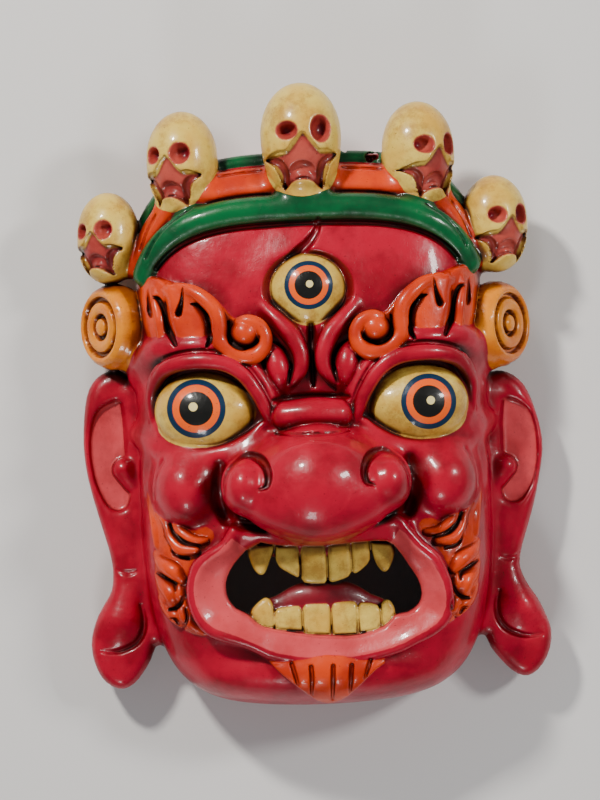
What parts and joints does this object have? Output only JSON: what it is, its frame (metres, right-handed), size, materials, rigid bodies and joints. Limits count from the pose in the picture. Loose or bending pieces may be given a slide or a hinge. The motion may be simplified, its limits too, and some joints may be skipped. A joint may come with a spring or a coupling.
{
  "type": "dance mask",
  "caption": "Carved and painted wooden Tibetan cham mask of a wrathful deity with a third eye, bared teeth, long ears, ear spools and a crown of skulls, hollow behind for the wearer's face.",
  "frame": {"origin": "middle of the mask's outline, on the plane that its back rim lies on", "axes": "+X to the right of a person facing the mask, +Y to the top of the skull crown, +Z out of the face"},
  "size_m": [0.2486, 0.3317, 0.1165],
  "materials": {
    "painted_wood": "painted"
  },
  "bodies": {
    "root": {"carved_mask": "painted_wood"}
  },
  "joints": []
}
